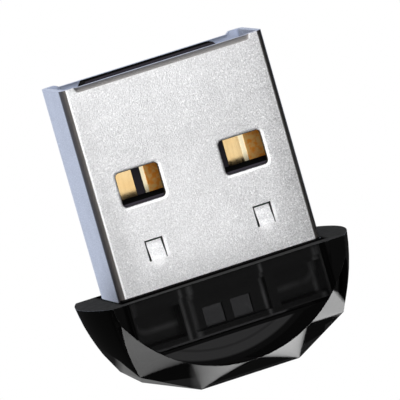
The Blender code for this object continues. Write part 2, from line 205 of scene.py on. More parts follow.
# lights
DOME_TONES = ((0.0, 0.10), (0.30, 0.12), (0.55, 0.9), (0.86, 1.1), (0.95, 0.06))     # by height
DOME_SIDE = (-0.65, 0.76, 0.0)              # the dome is full on this side
DOME_FALL = (-0.5, 0.4, 0.25, 1.0)          # from, to along that direction, and the strengths there
DOME_INSIDE = 0.05                          # strength for light that has crossed the plastic
PANEL_AT = (-82, 97, 250)
PANEL_SIZE = (336, 307)
PANEL_STRENGTH = 2.1
CARD = ((-90, -63, 36), (-12, -42, 14), (-9.6, -33.2, 9), (-7.9, -29.6, 9), (-1, -19, 9), (3, -15.6, 9),
        (9.5, -15.6, 9), (13, -15.9, 9))    # x, y and height of each fold
CARD_TONES = ((0.0, 0.12), (0.42, 0.25), (0.75, 0.21), (0.86, 0.42), (0.95, 0.60), (1.0, 0.62))
CARD_STRENGTH = 10.0
CARD_FADE_X = (-12, 4)
CARD_FADE = (-3.4, -1.7)                    # the card brightens upward over this height

# camera
VIEW_TURNS = (0.12396, 0.24065, 0.27816)    # tilt, swing and roll of the object before the camera
VIEW_SHIFT = (0.5863, -3.7748)
VIEW_DISTANCE = 365.0
PICTURE_MM = 22.19485                       # width of the picture at the plug's middle
SENSOR = 36.0


def at(point):
    """A point of the plug frame in the row frame."""
    x, y, z = point
    return Vector((x * MM, y * MM + RIM_Y, z * MM + MID_Z))


# ---------------------------------------------------------------- mesh helpers

def mesh_object(name, points, faces):
    mesh = bpy.data.meshes.new(name)
    mesh.from_pydata([at(p) for p in points], [], faces)
    bm = bmesh.new()
    bm.from_mesh(mesh)
    bmesh.ops.recalc_face_normals(bm, faces=bm.faces)
    bm.to_mesh(mesh)
    bm.free()
    ob = bpy.data.objects.new(name, mesh)
    bpy.context.scene.collection.objects.link(ob)
    return ob


def prism(name, outline, low, high, axis):
    """A flat outline pushed along one axis. The outline gives the other two axes in XYZ order."""
    others = [i for i in range(3) if i != axis]
    points = []
    for level in (low, high):
        for a, b in outline:
            p = [0.0, 0.0, 0.0]
            p[axis], p[others[0]], p[others[1]] = level, a, b
            points.append(p)
    n = len(outline)
    faces = [tuple(range(n)), tuple(range(2 * n - 1, n - 1, -1))]
    faces += [(i, (i + 1) % n, n + (i + 1) % n, n + i) for i in range(n)]
    return mesh_object(name, points, faces)


def box(name, low, high):
    outline = [(low[0], low[1]), (high[0], low[1]), (high[0], high[1]), (low[0], high[1])]
    return prism(name, outline, low[2], high[2], 2)


def rounded(half_a, half_b, radius, centre=(0.0, 0.0), steps=10):
    """Rounded rectangle, counter-clockwise."""
    out = []
    for sa, sb, start in ((1, 1, 0), (-1, 1, 90), (-1, -1, 180), (1, -1, 270)):
        for i in range(steps + 1):
            t = math.radians(start + 90 * i / steps)
            out.append((centre[0] + sa * (half_a - radius) + radius * math.cos(t),
                        centre[1] + sb * (half_b - radius) + radius * math.sin(t)))
    return out


def combine(target, others, operation):
    """Exact Booleans, kept as the target's own mesh."""
    for other in others:
        mod = target.modifiers.new("combine", "BOOLEAN")
        mod.operation = operation
        mod.solver = "EXACT"
        mod.object = other
    bake(target)
    for other in others:
        bpy.data.objects.remove(other, do_unlink=True)


def bake(ob):
    graph = bpy.context.evaluated_depsgraph_get()
    made = bpy.data.meshes.new_from_object(ob.evaluated_get(graph))
    ob.modifiers.clear()
    ob.data = made


def bevel(ob, width, angle):
    mod = ob.modifiers.new("rounding", "BEVEL")
    mod.width = width * MM
    mod.segments = 2
    mod.limit_method = "ANGLE"
    mod.angle_limit = math.radians(angle)
    mod.harden_normals = True


def round_edges(ob, width, angle, smooth):
    """Small rounding on every edge sharper than the angle."""
    ob.data.shade_smooth()
    ob.data.set_sharp_from_angle(angle=math.radians(smooth))
    bevel(ob, width, angle)


def exact_normals(ob, limit):
    """Shading normals averaged only over faces within the limit, so cones stay true up to their tips."""
    mesh = ob.data
    around = [[] for _ in mesh.vertices]
    for face in mesh.polygons:
        for v in face.vertices:
            around[v].append(face.normal.copy())
    least = math.cos(math.radians(limit))
    normals = []
    for face in mesh.polygons:
        for v in face.vertices:
            near = [n for n in around[v] if n.dot(face.normal) > least]
            normals.append(sum(near, Vector()).normalized())
    mesh.shade_smooth()
    mesh.normals_split_custom_set(normals)


def finish_piece(ob, node, material):
    """Hand a new piece to the frame in place of its CAD node."""
    ob.data.materials.clear()
    ob.data.materials.append(material)
    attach(ob, "root")
    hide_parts(node)


# ---------------------------------------------------------------- shader helpers

class Shader:
    """A node material with short calls for the nodes used here."""

    def __init__(self, name):
        self.material = bpy.data.materials.new(name)
        self.material.use_nodes = True
        self.tree = self.material.node_tree
        self.surface = self.tree.nodes["Principled BSDF"]
        self.output = self.tree.nodes["Material Output"]
        self.place = self.tree.nodes.new("ShaderNodeTexCoord")

    def node(self, kind, inputs=(), **settings):
        made = self.tree.nodes.new("ShaderNode" + kind)
        for key, value in settings.items():
            setattr(made, key, value)
        for key, value in dict(inputs).items():
            self.feed(value, made.inputs[key])
        return made

    def feed(self, value, socket):
        if isinstance(value, bpy.types.NodeSocket):
            self.tree.links.new(value, socket)
        else:
            socket.default_value = value

    def set(self, **values):
        """Principled inputs, with _ for a blank in the name."""
        for key, value in values.items():
            self.feed(value, self.surface.inputs[key.replace("_", " ")])

    def noise(self, size, detail=2.0, rough=0.5, stretch=(1, 1, 1)):
        """Noise whose features are about this many millimetres across."""
        moved = self.node("Mapping", {"Vector": self.place.outputs["Object"],
                                      "Scale": [s / (size * MM) for s in stretch]})
        made = self.node("TexNoise", {"Vector": moved.outputs[0], "Scale": 1.0,
                                      "Detail": detail, "Roughness": rough})
        return made.outputs["Fac"]

    def where(self):
        """X, Y and Z of the shaded point, in metres of the row frame."""
        return self.node("SeparateXYZ", {0: self.place.outputs["Object"]}).outputs

    def facing(self):
        """X, Y and Z of the surface normal."""
        return self.node("SeparateXYZ", {0: self.node("NewGeometry").outputs["Normal"]}).outputs

    def spread(self, value, low, high, to_low, to_high):
        made = self.node("MapRange", {"Value": value, "From Min": low, "From Max": high,
                                      "To Min": to_low, "To Max": to_high})
        return made.outputs["Result"]

    def past(self, value, low, high):
        """0 up to the first millimetre mark, 1 from the second on."""
        return self.spread(value, low * MM, high * MM, 0, 1)

    def before(self, value, low, high):
        """1 up to the first millimetre mark, 0 from the second on."""
        return self.spread(value, low * MM, high * MM, 1, 0)

    def within(self, value, low, high):
        """1 between two soft edges, 0 outside them."""
        return self.both(self.past(value, *low), self.before(value, *high))

    def blend(self, share, a, b):
        made = self.node("Mix", data_type="RGBA")
        for value, socket in zip((share, a, b), (made.inputs[0], made.inputs[6], made.inputs[7])):
            self.feed(value, socket)
        return made.outputs[2]

    def maths(self, operation, a, b=0.0):
        made = self.node("Math", {0: a, 1: b}, operation=operation)
        return made.outputs[0]

    def both(self, first, *others):
        """Product of two or more masks."""
        for other in others:
            first = self.maths("MULTIPLY", first, other)
        return first

    def level(self, value):
        """A value as a grey colour."""
        return self.node("CombineColor", {0: value, 1: value, 2: value}).outputs[0]

    def bump(self, height, depth):
        """Bump from a height of 0 to 1, this many millimetres deep."""
        return self.node("Bump", {"Height": height, "Distance": depth * MM}).outputs["Normal"]

    def glow(self, color, strength):
        """Give the material its own light in place of a lit surface."""
        made = self.node("Emission", {"Color": color, "Strength": strength})
        self.tree.nodes.remove(self.surface)
        self.tree.links.new(made.outputs[0], self.output.inputs["Surface"])


def grey(value, tint=(1, 1, 1)):
    return (value * tint[0], value * tint[1], value * tint[2], 1.0)


def fill_ramp(ramp, tones):
    """Set a colour ramp's stops from pairs of place and grey."""
    while len(ramp.elements) < len(tones):
        ramp.elements.new(0.5)
    for element, (spot, value) in zip(ramp.elements, tones):
        element.position = spot
        element.color = grey(value)


# ---------------------------------------------------------------- materials

def steel_tone(s, across, grain):
    """Grey of the blasted faces, harsher toward the right side and darker there by painted shade."""
    left, right = SHADE_X[0] * MM, SHADE_X[1] * MM
    sparkle = s.spread(s.noise(0.12, 1.0), 0.60, 0.75, 0, 0.22)
    tone = s.maths("ADD", s.spread(grain, 0.3, 0.7, -0.22, 0.20), sparkle)
    tone = s.maths("MULTIPLY", tone, s.spread(across, left, right, 1.0, 1.5))
    tone = s.maths("ADD", tone, s.spread(s.noise(0.9, 2.0), 0.3, 0.7, -0.03, 0.03))
    return s.maths("ADD", tone, s.spread(across, left, right, *STEEL_GREY))


def window_edge_light(s, along, facing, flat):
    """Painted highlight and shade lines along the rolled edges of the windows, set by which way each edge
    faces.
    """
    line = s.spread(facing[1], 0.04, 0.16, 0, 0.6)
    line = s.maths("SUBTRACT", line, s.spread(facing[0], -0.16, -0.04, -1, 0))
    line = s.maths("SUBTRACT", line, s.spread(facing[1], -0.75, -0.40, 1.6, 0))
    line = s.maths("SUBTRACT", line, s.spread(facing[0], 0.40, 0.75, 0, 1.6))
    away = s.maths("ABSOLUTE", s.maths("SUBTRACT", along, RIM_Y + WINDOW_AT[1] * MM))
    return s.both(line, flat, s.maths("LESS_THAN", away, 1.5 * MM), 0.35)


def tab_highlights(s, across, along):
    """Painted highlight line beside each tab, and a painted highlight at its root."""
    beside = s.maths("SUBTRACT", across, s.maths("MULTIPLY", s.maths("SIGN", across), TAB_AT[0] * MM))
    off = s.maths("ABSOLUTE", s.maths("SUBTRACT", beside, (TAB[0] / 2 + 0.10) * MM))
    reach = s.maths("ABSOLUTE", s.maths("SUBTRACT", along, RIM_Y + (TAB_AT[1] + 0.1) * MM))
    halo = s.both(s.spread(off, 0.05 * MM, 0.13 * MM, 0.22, 0.0), s.before(reach, 0.4, 0.7))
    below = s.maths("SUBTRACT", along, RIM_Y + TAB_ROOT_HIGHLIGHT[0] * MM)
    spot = s.node("CombineXYZ", {0: s.maths("DIVIDE", beside, TAB_ROOT_HIGHLIGHT[1] * MM),
                                 1: s.maths("DIVIDE", below, TAB_ROOT_HIGHLIGHT[2] * MM)}).outputs[0]
    spot = s.node("VectorMath", {0: spot}, operation="LENGTH").outputs["Value"]
    return s.maths("ADD", halo, s.spread(spot, 0.3, 1.0, 0.20, 0.0))


def steel_material():
    """Bead-blasted nickel finish: fine sparkling grain and dark lips, with painted dark reflections on the
    bends and painted light on the pale inside of the mouth.
    """
    s = Shader("blasted_steel")
    grain = s.noise(0.075, 4.0, 0.75)
    across, along, height = s.where()
    facing = s.facing()
    outer = s.past(s.maths("ABSOLUTE", across), *FACE_EDGE)
    flat = s.maths("SUBTRACT", 1.0, outer)
    lean = s.maths("ABSOLUTE", facing[0])
    upright = s.maths("ABSOLUTE", facing[2])
    up = s.maths("GREATER_THAN", facing[2], 0.1)
    # painted shade: the bends are darkened where they would mirror the dark horizon
    bend = s.both(s.spread(lean, 0.22, 0.32, 0, 1), s.spread(upright, 0.10, 0.30, 0, 1), outer)
    # painted highlight: a bright line along the inner edge of each bend
    crest_highlight = s.both(s.spread(lean, 0.03, 0.12, 0, 1), s.spread(lean, 0.22, 0.30, 1, 0), outer)
    value = s.maths("ADD", steel_tone(s, across, grain), window_edge_light(s, along, facing, flat))
    value = s.maths("ADD", value, tab_highlights(s, across, along))
    value = s.maths("ADD", value, s.maths("MULTIPLY", crest_highlight, 0.25))
    face = s.node("CombineColor", {0: value, 1: value, 2: s.maths("ADD", value, 0.010)}).outputs[0]
    color = s.blend(bend, face, STEEL_BEND_SHADE)
    mouth = s.maths("GREATER_THAN", along, RIM_Y + (PLUG_FRONT - LIP_LEN - 0.1) * MM)
    color = s.blend(s.both(mouth, s.spread(facing[1], 0.10, 0.22, 0, 1), up), color, STEEL_LIP)
    # painted light: the inside of the back wall at the mouth is made pale, standing in for the lit steel
    # seen there
    inside = s.both(mouth, s.maths("LESS_THAN", height, MID_Z), up)
    color = s.blend(inside, color, STEEL_INSIDE_LIT)
    # painted shade along the foot of the shell, where it meets the rim
    seat = s.both(s.maths("LESS_THAN", along, RIM_Y + SEAT_Y * MM), s.maths("GREATER_THAN", facing[2], 0.5))
    color = s.blend(seat, color, grey(0.01))
    # painted shade: the cut faces of the sheet are painted near black so the cuts read as shadow lines
    cut_face_shade = s.both(s.maths("LESS_THAN", upright, 0.25), flat, s.maths("LESS_THAN", along, 8.0 * MM))
    rough = s.maths("MAXIMUM", s.spread(grain, 0.3, 0.7, 0.30, 0.46), s.maths("MULTIPLY", inside, 0.9))
    s.set(Base_Color=s.blend(cut_face_shade, color, grey(0.05)), Metallic=1.0, Roughness=rough,
          Normal=s.bump(grain, 0.03))
    return s.material


def gold_material():
    """Gold plate with faint wipe marks along the contact, with painted reflections in places: orange where
    the shell's shaded ceiling is mirrored, pale highlight strips beside them.
    """
    s = Shader("gold_plate")
    wipe = s.noise(0.10, 3.0, 0.6, (1, 0.08, 1))
    color = s.blend(s.spread(s.noise(0.8, 2.0), 0.35, 0.65, 0.0, 1.0), *GOLD)
    x = s.maths("DIVIDE", s.where()[0], MM)
    mirrored_shade, wear_and_highlight, groove = 0.0, 0.0, 0.0
    # painted reflections on the contacts: an orange stretch mirroring the shaded ceiling, and a pale
    # highlight strip on its left
    for low, high in MIRRORED_SHADE_MARKS:
        from_left = s.spread(x, low, low + 0.06, 0, 1)
        mirrored_shade = s.maths("MAXIMUM", mirrored_shade, s.both(from_left, s.spread(x, high - 0.1, high, 1, 0)))
        strip = s.spread(x, low - HIGHLIGHT_STRIP_W, low - HIGHLIGHT_STRIP_W + 0.06, 0, 1)
        wear_and_highlight = s.maths("MAXIMUM", wear_and_highlight, s.both(strip, s.spread(x, low, low + 0.06, 1, 0)))
        groove = s.maths("ADD", groove, s.spread(x, low - HIGHLIGHT_STRIP_W, low + 0.04, 0, 1))
    mirrored_shade_tone = s.blend(s.spread(s.noise(0.25, 3.0), 0.40, 0.60, 0, 1), *GOLD_MIRRORED_SHADE)
    color = s.blend(mirrored_shade, s.blend(wear_and_highlight, color, GOLD_HIGHLIGHT), mirrored_shade_tone)
    shine = s.maths("MAXIMUM", s.spread(wipe, 0.3, 0.7, 0.10, 0.20), s.maths("MULTIPLY", wear_and_highlight, 0.30))
    shine = s.maths("MAXIMUM", shine, s.maths("MULTIPLY", mirrored_shade, 0.5))
    lean = s.node("Bump", {"Height": groove, "Distance": 0.045 * MM, "Normal": s.bump(wipe, 0.002)})
    s.set(Base_Color=color, Metallic=1.0, Roughness=shine, Normal=lean.outputs["Normal"])
    return s.material


def rim_color(s):
    """Worn grey of the cap's rim, with a painted black shadow line along the shell's upper wall."""
    across, _, height = s.where()
    half = PLUG_W / 2
    shade = s.spread(across, -half * MM, half * MM, SEAT_SHADE[0] * MM, SEAT_SHADE[1] * MM)
    out = s.maths("SUBTRACT", s.maths("SUBTRACT", height, MID_Z + PLUG_H / 2 * MM), shade)
    beside = s.past(s.maths("ABSOLUTE", across), half + 0.05, half + 0.30)
    lit = s.maths("MAXIMUM", s.past(out, -0.1, 0.1), beside)
    wear_and_highlight = s.blend(s.noise(0.35, 4.0, 0.6), grey(RIM_GREY[0]), grey(RIM_GREY[1]))
    return s.blend(lit, grey(0.001), wear_and_highlight)


def smoked_material():
    """Glossy smoked plastic that lets a little light through, with a duller and opaque rim."""
    s = Shader("smoked_plastic")
    haze = s.noise(1.2, 3.0)
    facing = s.facing()
    rim = s.spread(facing[1], 0.90, 0.95, 0.0, 1.0)
    facet = s.spread(s.maths("ABSOLUTE", facing[2]), 0.95, 0.98, 1.0, 0.0)
    tint = s.blend(facet, grey(SMOKE_GREY[0], (1.0, 1.0, 1.02)), grey(SMOKE_GREY[1]))
    s.set(Base_Color=s.blend(rim, tint, rim_color(s)), IOR=1.52,
          Transmission_Weight=s.spread(rim, 0, 1, 1, 0), Specular_IOR_Level=s.spread(rim, 0, 1, 0.5, 0.0),
          Roughness=s.blend(rim, s.spread(haze, 0.3, 0.7, 0.015, 0.04), grey(0.45)),
          Normal=s.bump(s.noise(0.8, 2.0), 0.0006))
    smoke = s.node("VolumeAbsorption", {"Color": (0.05, 0.05, 0.05, 1), "Density": SMOKE_DEPTH / MM})
    s.tree.links.new(smoke.outputs[0], s.output.inputs["Volume"])
    veil = s.node("BsdfTransparent", {"Color": grey(0.55)})
    mix = s.node("MixShader", {0: s.node("LightPath").outputs["Is Shadow Ray"], 1: s.surface.outputs[0],
                               2: veil.outputs[0]})
    s.tree.links.new(mix.outputs[0], s.output.inputs["Surface"])
    return s.material


def tongue_material():
    """Black moulded plastic with a fine spark-eroded skin, made paler on top by painted light and given
    painted highlights along its edges.
    """
    s = Shader("tongue_plastic")
    skin = s.noise(0.06, 3.0, 0.6)
    normal = s.node("NewGeometry").outputs["True Normal"]
    across = s.node("VectorMath", {0: normal}, operation="ABSOLUTE").outputs[0]
    parts = s.node("SeparateXYZ", {0: across}).outputs
    flat = s.maths("MAXIMUM", s.maths("MAXIMUM", parts[0], parts[1]), parts[2])
    # painted highlights on the bevelled edges, and painted light on the top faces below
    edge = s.spread(flat, 0.97, 0.99, 1.0, 0.0)
    body = s.blend(s.noise(1.0, 2.0), grey(TONGUE_GREY[0]), grey(TONGUE_GREY[1]))
    body = s.blend(s.spread(parts[2], 0.9, 0.95, 0, 1), body, TONGUE_TOP_LIT)
    s.set(Base_Color=s.blend(edge, body, grey(0.02)), Specular_IOR_Level=0.0,
          Roughness=s.spread(skin, 0.3, 0.7, 0.49, 0.61), Normal=s.bump(skin, 0.004))
    return s.material


def bay_corner_highlight(s, x, y):
    """Faint painted highlight round the rear corners of the two bays."""
    half, depth, radius = BAY_HIGHLIGHT
    wide = s.maths("ABSOLUTE", x)
    a = s.maths("MAXIMUM", s.maths("SUBTRACT", wide, half - radius), 0.0)
    b = s.maths("MAXIMUM", s.maths("SUBTRACT", s.maths("MULTIPLY", y, -1.0), depth - radius), 0.0)
    reach = s.maths("SQRT", s.maths("ADD", s.maths("MULTIPLY", a, a), s.maths("MULTIPLY", b, b)))
    off = s.maths("ABSOLUTE", s.maths("SUBTRACT", reach, radius))
    return s.both(s.spread(off, 0.0, 0.25, 0.07, 0.0), s.maths("GREATER_THAN", wide, BAYS_FROM))


def carrier_material():
    """Black moulding with painted highlights along its ribs, its rear edge and the round corners of its
    bays.
    """
    s = Shader("carrier_plastic")
    skin = s.noise(0.06, 3.0, 0.6)
    parts = s.where()
    x = s.maths("DIVIDE", parts[0], MM)
    y = s.maths("DIVIDE", s.maths("SUBTRACT", parts[1], RIM_Y), MM)
    light = s.spread(s.maths("ABSOLUTE", s.maths("ADD", y, CARRIER_REAR)), 0.0, 0.10, 0.03, 0.0)
    for line_x, half, share in CARRIER_HIGHLIGHTS:
        near = s.maths("ABSOLUTE", s.maths("SUBTRACT", x, line_x))
        light = s.maths("MAXIMUM", light, s.spread(near, 0.0, half, share, 0.0))
    light = s.maths("MAXIMUM", light, bay_corner_highlight(s, x, y))
    cloud = s.noise(1.6, 3.0)
    light = s.maths("MULTIPLY", light, s.spread(cloud, 0.30, 0.65, 0.35, 1.15))
    body = s.blend(s.spread(y, -3.0, -2.8, 0, 1), grey(0.002), s.blend(cloud, grey(0.003), grey(0.009)))
    s.set(Base_Color=s.blend(light, body, grey(0.8)), Specular_IOR_Level=0.2,
          Roughness=s.spread(skin, 0.3, 0.7, 0.30, 0.42), Normal=s.bump(skin, 0.004))
    return s.material


def board_material():
    """Green solder mask over copper tracks, with the bare glass weave at the edges."""
    s = Shader("solder_mask")
    weave = s.node("TexBrick", {"Vector": s.place.outputs["Object"], "Scale": 1 / (0.9 * MM),
                                "Color1": grey(0.0), "Color2": grey(0.2), "Mortar": grey(1.0),
                                "Mortar Size": 0.05}).outputs["Fac"]
    edge = s.maths("LESS_THAN", s.maths("ABSOLUTE", s.facing()[2]), 0.5)
    mask = s.blend(weave, *SOLDER_MASK)
    s.set(Base_Color=s.blend(edge, mask, GLASS_EDGE), Roughness=0.38,
          Normal=s.bump(s.maths("ADD", weave, s.noise(0.15, 2.0)), 0.012))
    return s.material


def package_material(name, body, metal_ends, rough, metallic):
    """A small electronic part: grained body, with tinned ends where it has them."""
    s = Shader(name)
    grain = s.noise(0.05, 3.0, 0.6)
    color = s.blend(grain, grey(0.8, body), grey(1.2, body))
    shine = s.spread(grain, 0.3, 0.7, rough - 0.06, rough + 0.06)
    if metal_ends:
        along = s.node("SeparateXYZ", {0: s.place.outputs["Generated"]}).outputs[0]
        out = s.maths("ABSOLUTE", s.maths("SUBTRACT", along, 0.5))
        end = s.maths("GREATER_THAN", out, 0.5 - metal_ends)
        color = s.blend(end, color, TIN)
        shine = s.spread(end, 0, 1, rough, 0.28)
        metallic = end
    s.set(Base_Color=color, Roughness=shine, Metallic=metallic, Normal=s.bump(grain, 0.003))
    return s.material


# ---------------------------------------------------------------- plug shell

def wall_path(bend_steps=14):
    """Outside and inside points of the folded sheet, from one side of the seam to the other."""
    lip_steps = [LIP_FROM + (EAR_IN - LIP_FROM) * i / 6 for i in range(7)]
    half = [(x, -PLUG_H / 2, x, -PLUG_H / 2 + SHEET) for x in [SEAM / 2] + lip_steps]
    cx, cz = PLUG_W / 2 - BEND_R, PLUG_H / 2 - BEND_R
    inner = BEND_R - SHEET
    for sz, start in ((-1, -90), (1, 0)):
        for i in range(bend_steps + 1):
            t = math.radians(start + 90 * i / bend_steps)
            half.append((cx + BEND_R * math.cos(t), sz * cz + BEND_R * math.sin(t),
                         cx + inner * math.cos(t), sz * cz + inner * math.sin(t)))
    half += [(x, PLUG_H / 2, x, PLUG_H / 2 - SHEET) for x in reversed(lip_steps)]
    mirrored = [(-a, b, -c, d) for a, b, c, d in reversed(half)]
    return half + mirrored


def ease(t):
    t = min(1.0, max(0.0, t))
    return t * t * (3 - 2 * t)


def shell_ring(points, y, bend):
    """One ring of the tube. bend is None on the straight run and 0 to 1 along the lips."""
    ring = []
    shrink = REAR_TAPER if y == SHELL_REAR else 0.0
    for x_out, z_out, x_in, z_in in wall_path():
        lip = 0.0
        if abs(z_out) > PLUG_H / 2 - 1e-6:
            lip = ease((EAR_IN - abs(x_out)) / (EAR_IN - LIP_FROM))
        reach = LIP_LEN - LIP_DROP[z_out > 0] * lip
        at_y = y if bend is None else PLUG_FRONT - LIP_LEN + reach * bend
        move = 0.0 if bend is None else -math.copysign(LIP_IN * lip * bend * bend, z_out)
        ring.append((len(points), len(points) + 1))
        points.append((x_out * (1 - 2 * shrink / PLUG_W), at_y, z_out * (1 - 2 * shrink / PLUG_H) + move))
        points.append((x_in, at_y, z_in + move))
    return ring


def tab(x, y, face):
    """Tab left by a three-sided cut: joined to the wall at the rear, pressed in at the front."""
    rear, front = y - TAB[1] / 2 + TAB_SHORT, y + TAB[1] / 2 - TAB_FRONT_GAP
    left, right = x - TAB[0] / 2 + TAB_GAP[0], x + TAB[0] / 2 - TAB_GAP[1]
    steps = 12
    path = [(rear - 0.02, 0.001)]
    for i in range(1, steps + 1):
        path.append((rear + (front - rear) * i / steps, 0.001 + TAB_PUSH * ease(1.15 * i / steps)))
    profile = [(a, PLUG_H / 2 - b) for a, b in path]
    profile += [(a, PLUG_H / 2 - SHEET - b + 0.002) for a, b in reversed(path)]
    return prism("tab", [(a, face * b) for a, b in profile], left, right, 0)


def window_cutter(side, face):
    """Latch window with its outer edge rolled over by the punch."""
    width, deep = ROLL
    levels = [(0.0, 0.0), (PLUG_H / 2 - deep, 0.0)]
    for i in range(1, 10):
        t = math.radians(10 * i)
        levels.append((PLUG_H / 2 - deep + deep * math.sin(t), width * (1 - math.cos(t))))
    levels.append((PLUG_H, width))
    points, faces = [], []
    for z, grow in levels:
        ring = rounded(WINDOW[0] / 2 + grow, WINDOW[1] / 2 + grow, WINDOW_R + grow,
                       (side * WINDOW_AT[0], WINDOW_AT[1]))
        points += [(x, y, face * z) for x, y in ring]
    n = len(ring)
    for low in range(0, n * (len(levels) - 1), n):
        faces += [(low + i, low + (i + 1) % n, low + n + (i + 1) % n, low + n + i) for i in range(n)]
    faces += [tuple(range(n)), tuple(range(len(points) - n, len(points)))]
    return mesh_object("window_cut", points, faces)


def plug_shell():
    points = []
    rings = [shell_ring(points, y, None) for y in (SHELL_REAR, 0.0, PLUG_FRONT - LIP_LEN)]
    rings += [shell_ring(points, None, i / 8) for i in range(1, 9)]
    faces = []
    n = len(rings[0])
    for a, b in zip(rings, rings[1:]):
        for i in range(n - 1):
            faces.append((a[i][0], a[i + 1][0], b[i + 1][0], b[i][0]))
            faces.append((a[i][1], b[i][1], b[i + 1][1], a[i + 1][1]))
        for i in (0, n - 1):
            faces.append((a[i][0], b[i][0], b[i][1], a[i][1]))
    for ring in (rings[0], rings[-1]):
        faces += [(ring[i][0], ring[i][1], ring[i + 1][1], ring[i + 1][0]) for i in range(n - 1)]
    shell = mesh_object("folded_plug_shell", points, faces)
    cutters, tabs = [], []
    for side in (-1, 1):
        cutters += [window_cutter(side, face) for face in (-1, 1)]
        x, y = side * TAB_AT[0], TAB_AT[1]
        cutters.append(box("tab_cut", (x - TAB[0] / 2, y - TAB[1] / 2 + TAB_SHORT, -PLUG_H),
                           (x + TAB[0] / 2, y + TAB[1] / 2, PLUG_H)))
        tabs += [tab(x, y, face) for face in (-1, 1)]
    combine(shell, cutters, "DIFFERENCE")
    combine(shell, tabs, "UNION")
    round_edges(shell, SHELL_EDGE, 40, 30)
    finish_piece(shell, "plug_shell", steel_material())


# ---------------------------------------------------------------- cap

def side_x(t, z):
    """Distance of the barrel-shaped side wall from the middle, t below the rim."""
    return CAP_HALF_W - SIDE_LEAN * t - SIDE_CURVE * t * t - z * z / (2 * SIDE_R)


def cap_quarter(sign, arc_steps=60, levels=22):
    """Points of one quarter at positive X, on the front (sign 1) or back (sign -1) half."""
    face = CAP_FRONT if sign > 0 else CAP_BACK
    depth, radius, end = abs(face), ARC_R[sign > 0], ARC_END[sign > 0]
    corner_t, kite_t = -CORNER_1[1], -KITE_SIDE[1]
    quarter = [(*KITE_SIDE, 0.0), (*KITE_TIP, 0.0)]
    quarter += [(*CORNER_1, sign * GIRDLE_Z), (*CORNER_2, sign * GIRDLE_Z)]
    for i in range(arc_steps + 1):
        a = math.radians(end * i / arc_steps)
        quarter.append((radius * math.sin(a), ARC_C - radius * math.cos(a), face))
    arc_t = radius * math.cos(math.radians(end)) - ARC_C
    for i in range(levels + 1):
        z = depth * math.sin(math.radians(90 * i / levels))
        if z < GIRDLE_Z:
            deep = kite_t + (corner_t - kite_t) * z / GIRDLE_Z
            rows = [j / 6 for j in range(6)]
        else:
            deep = corner_t + (arc_t - corner_t) * (z - GIRDLE_Z) / (depth - GIRDLE_Z)
            rows = [j / 6 for j in range(7)]
        quarter += [(side_x(f * deep, z), -f * deep, sign * z) for f in rows]
    return quarter


def cap_points():
    points = []
    for sign in (-1, 1):
        for side in (-1, 1):
            points += [(side * x, y, z) for x, y, z in cap_quarter(sign)]
    return points


def end_cap():
    bm = bmesh.new()
    for p in cap_points():
        bm.verts.new(at(p))
    bmesh.ops.remove_doubles(bm, verts=bm.verts, dist=0.002 * MM)
    made = bmesh.ops.convex_hull(bm, input=bm.verts)
    spare = {v for v in made["geom_interior"] + made["geom_unused"] if isinstance(v, bmesh.types.BMVert)}
    bmesh.ops.delete(bm, geom=list(spare), context="VERTS")
    bmesh.ops.dissolve_limit(bm, angle_limit=math.radians(0.05), verts=bm.verts, edges=bm.edges)
    bmesh.ops.recalc_face_normals(bm, faces=bm.faces)
    mesh = bpy.data.meshes.new("smoked_end_cap")
    bm.to_mesh(mesh)
    bm.free()
    cap = bpy.data.objects.new("smoked_end_cap", mesh)
    bpy.context.scene.collection.objects.link(cap)
    hole = rounded(PLUG_W / 2 + POCKET_GAP, PLUG_H / 2 + POCKET_GAP, BEND_R + POCKET_GAP)
    draft = [(POCKET_Y + 0.3, PLUG_H / 2), (POCKET_Y, PLUG_H / 2), (POCKET_Y - POCKET_DRAFT, -PLUG_H / 2),
             (POCKET_Y + 0.3, -PLUG_H / 2)]
    combine(cap, [prism("pocket_cut", hole, POCKET_Y, 1.0, 1),
                  prism("draft_cut", draft, -DRAFT_HALF_W, DRAFT_HALF_W, 0)], "DIFFERENCE")
    round_edges(cap, CAP_EDGE, 12, 10)
    bake(cap)
    exact_normals(cap, 4)
    cap.visible_glossy = False
    finish_piece(cap, "end_cap", smoked_material())


# ---------------------------------------------------------------- parts kept from the CAD

def carried(node, material, width):
    """Finish a CAD part as it is: one material and slightly rounded edges."""
    ob = frame["nodes"][node]
    ob.data.materials.clear()
    ob.data.materials.append(material)
    bevel(ob, width, 35)


def inner_parts():
    carried("plug_insulator", tongue_material(), 0.05)
    carried("rear_carrier", carrier_material(), 0.07)
    carried("circuit_board", board_material(), 0.02)
    gold = gold_material()
    bodies = dict(SMALL_PARTS)
    for node in sorted(frame["nodes"]):
        if node.startswith("contact_"):
            carried(node, gold, 0.02)
        if node.startswith("capacitor_"):
            bodies[node] = CAPACITOR
        if node.startswith("resistor_"):
            bodies[node] = RESISTOR
    for node, looks in bodies.items():
        carried(node, package_material(node + "_finish", *looks), 0.02)


# ---------------------------------------------------------------- stage, light and camera

def view_turn():
    tilt, swing, roll = VIEW_TURNS
    return Matrix.Rotation(roll, 3, "Z") @ Matrix.Rotation(tilt, 3, "X") @ Matrix.Rotation(swing, 3, "Y")


def camera():
    data = bpy.data.cameras.new("camera")
    data.sensor_width = SENSOR
    data.lens = SENSOR * VIEW_DISTANCE / PICTURE_MM
    data.clip_start = 0.01
    data.clip_end = 10.0
    cam = bpy.data.objects.new("camera", data)
    back = view_turn().transposed()
    spot = back @ Vector((-VIEW_SHIFT[0], -VIEW_SHIFT[1], VIEW_DISTANCE))
    cam.matrix_world = Matrix.Translation(at(spot)) @ back.to_4x4()
    bpy.context.scene.collection.objects.link(cam)
    bpy.context.scene.camera = cam


